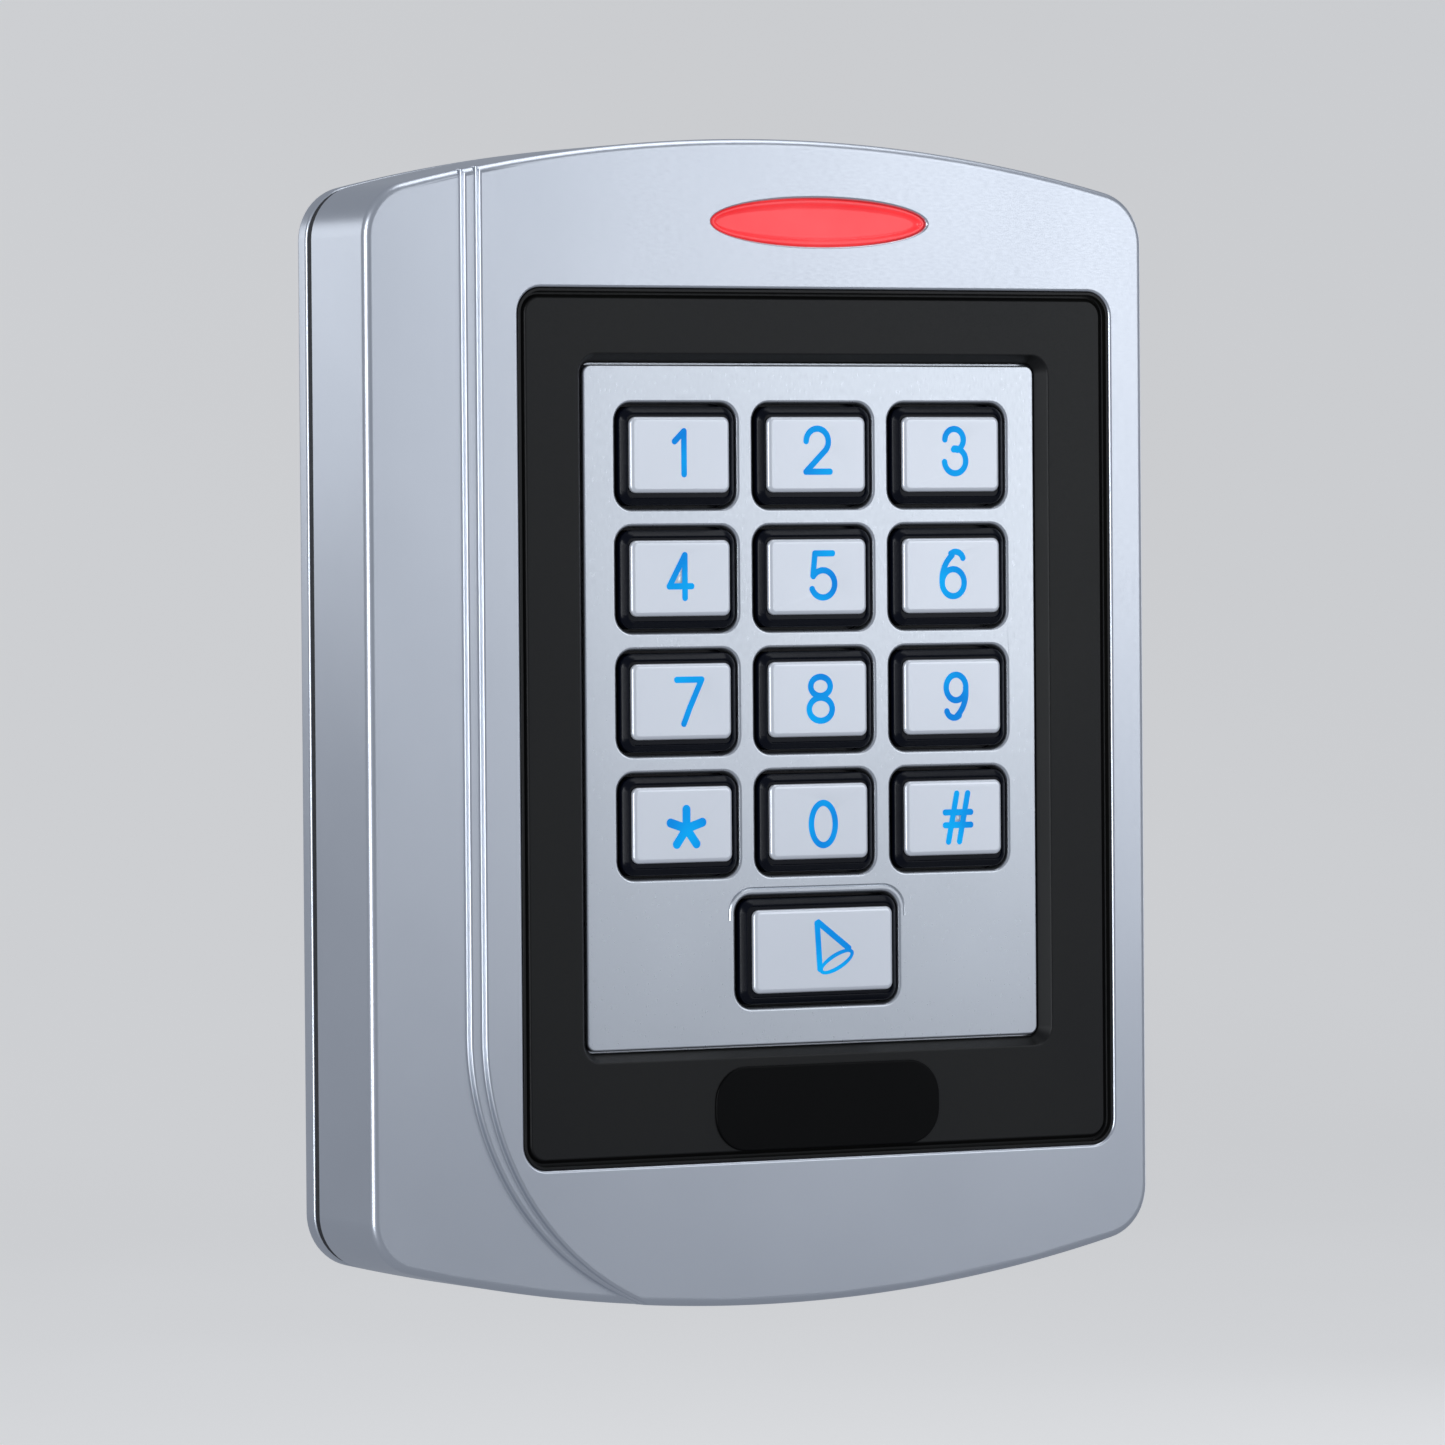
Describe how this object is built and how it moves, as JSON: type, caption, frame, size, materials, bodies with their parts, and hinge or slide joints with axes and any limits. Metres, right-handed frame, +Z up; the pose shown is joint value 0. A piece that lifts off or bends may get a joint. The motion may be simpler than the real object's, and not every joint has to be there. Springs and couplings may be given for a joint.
{
  "type": "keypad access reader",
  "caption": "Wall-mounted metal keypad reader: arched satin case, black bezel, silver keys with lit legends, oval status lens and a back plate that screws to the wall.",
  "frame": {"origin": "centre of the back plate's wall face, on the wall", "axes": "+Z up, +X to the right of somebody facing the keys, +Y into the wall; the keys face -Y"},
  "size_m": [0.098, 0.018, 0.128],
  "materials": {
    "cast_metal": "satin silver coat",
    "black_bezel": "fine matte texture",
    "gloss_label": "smooth, blank",
    "silver_plate": "satin",
    "red_lens": "translucent, diffusing",
    "key_black": "glossy",
    "key_silver": "satin metallised",
    "legend_blue": "backlit translucent",
    "screw_steel": "machined",
    "black_rubber": "soft matte",
    "silicone": "translucent grey silicone",
    "circuit_board": "solder mask",
    "copper_wire": "enamelled copper winding",
    "led_body": "clear epoxy",
    "black_component": "moulded",
    "white_component": "moulded",
    "capacitor_can": "bare can",
    "sensor_body": "ceramic and film"
  },
  "bodies": {
    "case": {"back_plate": "cast_metal", "cable_grommet": "black_rubber", "rear_gasket": "black_rubber", "housing": "cast_metal", "cover_screw": "screw_steel", "bezel_frame": "black_bezel", "nameplate": "gloss_label", "keypad_plate": "silver_plate", "status_lens": "red_lens", "antenna_coil": "copper_wire", "main_board": "circuit_board", "board_screws": "screw_steel", "key_mat": "silicone", "backlight_leds": "led_body", "status_leds": "led_body", "controller_chip": "black_component", "relay": "white_component", "buzzer": "black_component", "capacitors": "capacitor_can", "wire_header": "white_component", "tamper_sensor": "sensor_body"},
    "key_1": {"key_body_1": "key_black", "keycap_1": "key_silver", "legend_1": "legend_blue"},
    "key_2": {"key_body_2": "key_black", "keycap_2": "key_silver", "legend_2": "legend_blue"},
    "key_3": {"key_body_3": "key_black", "keycap_3": "key_silver", "legend_3": "legend_blue"},
    "key_4": {"key_body_4": "key_black", "keycap_4": "key_silver", "legend_4": "legend_blue"},
    "key_5": {"key_body_5": "key_black", "keycap_5": "key_silver", "legend_5": "legend_blue"},
    "key_6": {"key_body_6": "key_black", "keycap_6": "key_silver", "legend_6": "legend_blue"},
    "key_7": {"key_body_7": "key_black", "keycap_7": "key_silver", "legend_7": "legend_blue"},
    "key_8": {"key_body_8": "key_black", "keycap_8": "key_silver", "legend_8": "legend_blue"},
    "key_9": {"key_body_9": "key_black", "keycap_9": "key_silver", "legend_9": "legend_blue"},
    "key_star": {"key_body_star": "key_black", "keycap_star": "key_silver", "legend_star": "legend_blue"},
    "key_0": {"key_body_0": "key_black", "keycap_0": "key_silver", "legend_0": "legend_blue"},
    "key_hash": {"key_body_hash": "key_black", "keycap_hash": "key_silver", "legend_hash": "legend_blue"},
    "key_bell": {"key_body_bell": "key_black", "keycap_bell": "key_silver", "legend_bell": "legend_blue"}
  },
  "joints": [
    {"name": "press_1", "type": "slide", "parent": "case", "child": "key_1", "axis": [0, 1, 0], "range_m": [0, 0.001], "stiffness_N_per_m": 1200, "deforming": ["key_mat"]},
    {"name": "press_2", "type": "slide", "parent": "case", "child": "key_2", "axis": [0, 1, 0], "range_m": [0, 0.001], "stiffness_N_per_m": 1200, "deforming": ["key_mat"]},
    {"name": "press_3", "type": "slide", "parent": "case", "child": "key_3", "axis": [0, 1, 0], "range_m": [0, 0.001], "stiffness_N_per_m": 1200, "deforming": ["key_mat"]},
    {"name": "press_4", "type": "slide", "parent": "case", "child": "key_4", "axis": [0, 1, 0], "range_m": [0, 0.001], "stiffness_N_per_m": 1200, "deforming": ["key_mat"]},
    {"name": "press_5", "type": "slide", "parent": "case", "child": "key_5", "axis": [0, 1, 0], "range_m": [0, 0.001], "stiffness_N_per_m": 1200, "deforming": ["key_mat"]},
    {"name": "press_6", "type": "slide", "parent": "case", "child": "key_6", "axis": [0, 1, 0], "range_m": [0, 0.001], "stiffness_N_per_m": 1200, "deforming": ["key_mat"]},
    {"name": "press_7", "type": "slide", "parent": "case", "child": "key_7", "axis": [0, 1, 0], "range_m": [0, 0.001], "stiffness_N_per_m": 1200, "deforming": ["key_mat"]},
    {"name": "press_8", "type": "slide", "parent": "case", "child": "key_8", "axis": [0, 1, 0], "range_m": [0, 0.001], "stiffness_N_per_m": 1200, "deforming": ["key_mat"]},
    {"name": "press_9", "type": "slide", "parent": "case", "child": "key_9", "axis": [0, 1, 0], "range_m": [0, 0.001], "stiffness_N_per_m": 1200, "deforming": ["key_mat"]},
    {"name": "press_star", "type": "slide", "parent": "case", "child": "key_star", "axis": [0, 1, 0], "range_m": [0, 0.001], "stiffness_N_per_m": 1200, "deforming": ["key_mat"]},
    {"name": "press_0", "type": "slide", "parent": "case", "child": "key_0", "axis": [0, 1, 0], "range_m": [0, 0.001], "stiffness_N_per_m": 1200, "deforming": ["key_mat"]},
    {"name": "press_hash", "type": "slide", "parent": "case", "child": "key_hash", "axis": [0, 1, 0], "range_m": [0, 0.001], "stiffness_N_per_m": 1200, "deforming": ["key_mat"]},
    {"name": "press_bell", "type": "slide", "parent": "case", "child": "key_bell", "axis": [0, 1, 0], "range_m": [0, 0.001], "stiffness_N_per_m": 1200, "deforming": ["key_mat"]}
  ]
}
